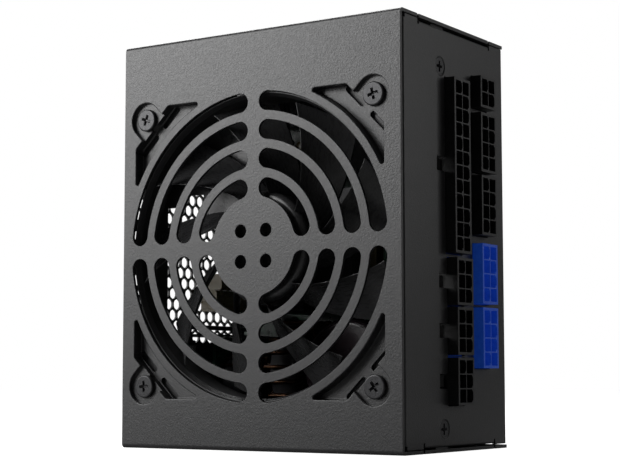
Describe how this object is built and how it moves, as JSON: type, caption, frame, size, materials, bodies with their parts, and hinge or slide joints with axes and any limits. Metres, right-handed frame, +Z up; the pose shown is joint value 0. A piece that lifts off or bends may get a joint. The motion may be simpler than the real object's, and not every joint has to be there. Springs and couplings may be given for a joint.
{
  "type": "power supply unit",
  "caption": "Compact modular computer power supply: bent steel case, round fan grille, honeycomb vent, mains inlet with rocker switch and sockets for detachable leads.",
  "frame": {"origin": "centre of the 100 by 63.5 mm face that the unit stands on", "axes": "+Z up along the 125 mm width, +X from the mains panel to the connector panel, +Y from the fan grille to the closed side"},
  "size_m": [0.1068, 0.0636, 0.125],
  "materials": {
    "case_coat": "fine textured black powder coat",
    "case_screw": "black oxide, cross recess",
    "fan_frame_plastic": "moulded black",
    "impeller_plastic": "glossy moulded black",
    "steel": "plain steel",
    "magnet": "bonded ferrite",
    "bearing_metal": "sintered bronze",
    "standoff_brass": "turned brass",
    "copper": "enamelled or bare copper",
    "board": "solder resist on glass fibre board",
    "header_black": "moulded black",
    "header_blue": "moulded blue",
    "contact_tin": "tin plate",
    "inlet_plastic": "moulded black",
    "switch_plastic": "moulded black",
    "wire_insulation": "extruded insulation",
    "plug_plastic": "moulded off-white",
    "insulator": "flexible film",
    "ferrite": "sintered ferrite",
    "winding_tape": "yellow tape over a wound former",
    "film_capacitor": "moulded case",
    "fuse_body": "ceramic tube with metal caps",
    "varistor_coat": "dipped epoxy",
    "thermistor_coat": "dipped epoxy",
    "relay_case": "moulded case",
    "package_epoxy": "moulded package",
    "heatsink_metal": "extruded",
    "capacitor_sleeve": "shrink sleeve"
  },
  "bodies": {
    "case": {"fan_side_cover": "case_coat", "chassis_tray": "case_coat", "cover_screws": "case_screw", "fan_screws": "case_screw", "fan_frame": "fan_frame_plastic", "board_screws": "steel", "ground_screw": "steel", "fan_stator_core": "steel", "fan_bearing": "bearing_metal", "board_standoffs": "standoff_brass", "fan_stator_windings": "copper", "pfc_choke_winding": "copper", "filter_choke_windings": "copper", "busbars": "copper", "fan_circuit_board": "board", "main_board": "board", "output_board": "board", "filter_board": "board", "rectifier_board": "board", "control_board": "board", "main_header": "header_black", "accessory_headers": "header_black", "small_header": "header_black", "processor_headers": "header_black", "graphics_headers": "header_blue", "header_contacts": "contact_tin", "ac_inlet_pins": "contact_tin", "switch_terminals": "contact_tin", "ac_inlet_body": "inlet_plastic", "switch_housing": "switch_plastic", "fan_leads": "wire_insulation", "mains_wires": "wire_insulation", "ground_wire": "wire_insulation", "fan_plug": "plug_plastic", "insulating_films": "insulator", "air_baffle": "insulator", "filter_choke_cores": "ferrite", "pfc_choke_core": "ferrite", "transformer_core": "ferrite", "resonant_inductor": "ferrite", "standby_transformer": "ferrite", "output_chokes": "ferrite", "transformer_windings": "winding_tape", "line_capacitors": "film_capacitor", "fuse": "fuse_body", "surge_varistor": "varistor_coat", "inrush_thermistor": "thermistor_coat", "inrush_relay": "relay_case", "bridge_rectifier": "package_epoxy", "power_transistors": "package_epoxy", "primary_heatsink": "heatsink_metal", "secondary_heatsink": "heatsink_metal", "bulk_capacitor": "capacitor_sleeve", "output_capacitors": "capacitor_sleeve"},
    "fan_rotor": {"fan_impeller": "impeller_plastic", "fan_rotor_cup": "steel", "fan_magnet_ring": "magnet", "fan_shaft": "steel", "fan_shaft_clip": "steel"},
    "rocker": {"switch_rocker": "switch_plastic"}
  },
  "joints": [
    {"name": "fan_spin", "type": "hinge", "parent": "case", "child": "fan_rotor", "pos_m": [-0.0005, -0.024, 0.06], "axis": [0, 1, 0], "continuous": true},
    {"name": "rocker_tilt", "type": "hinge", "parent": "case", "child": "rocker", "pos_m": [-0.0484, 0.0145, 0.0195], "axis": [0, 1, 0], "range_deg": [-16, 0]}
  ]
}
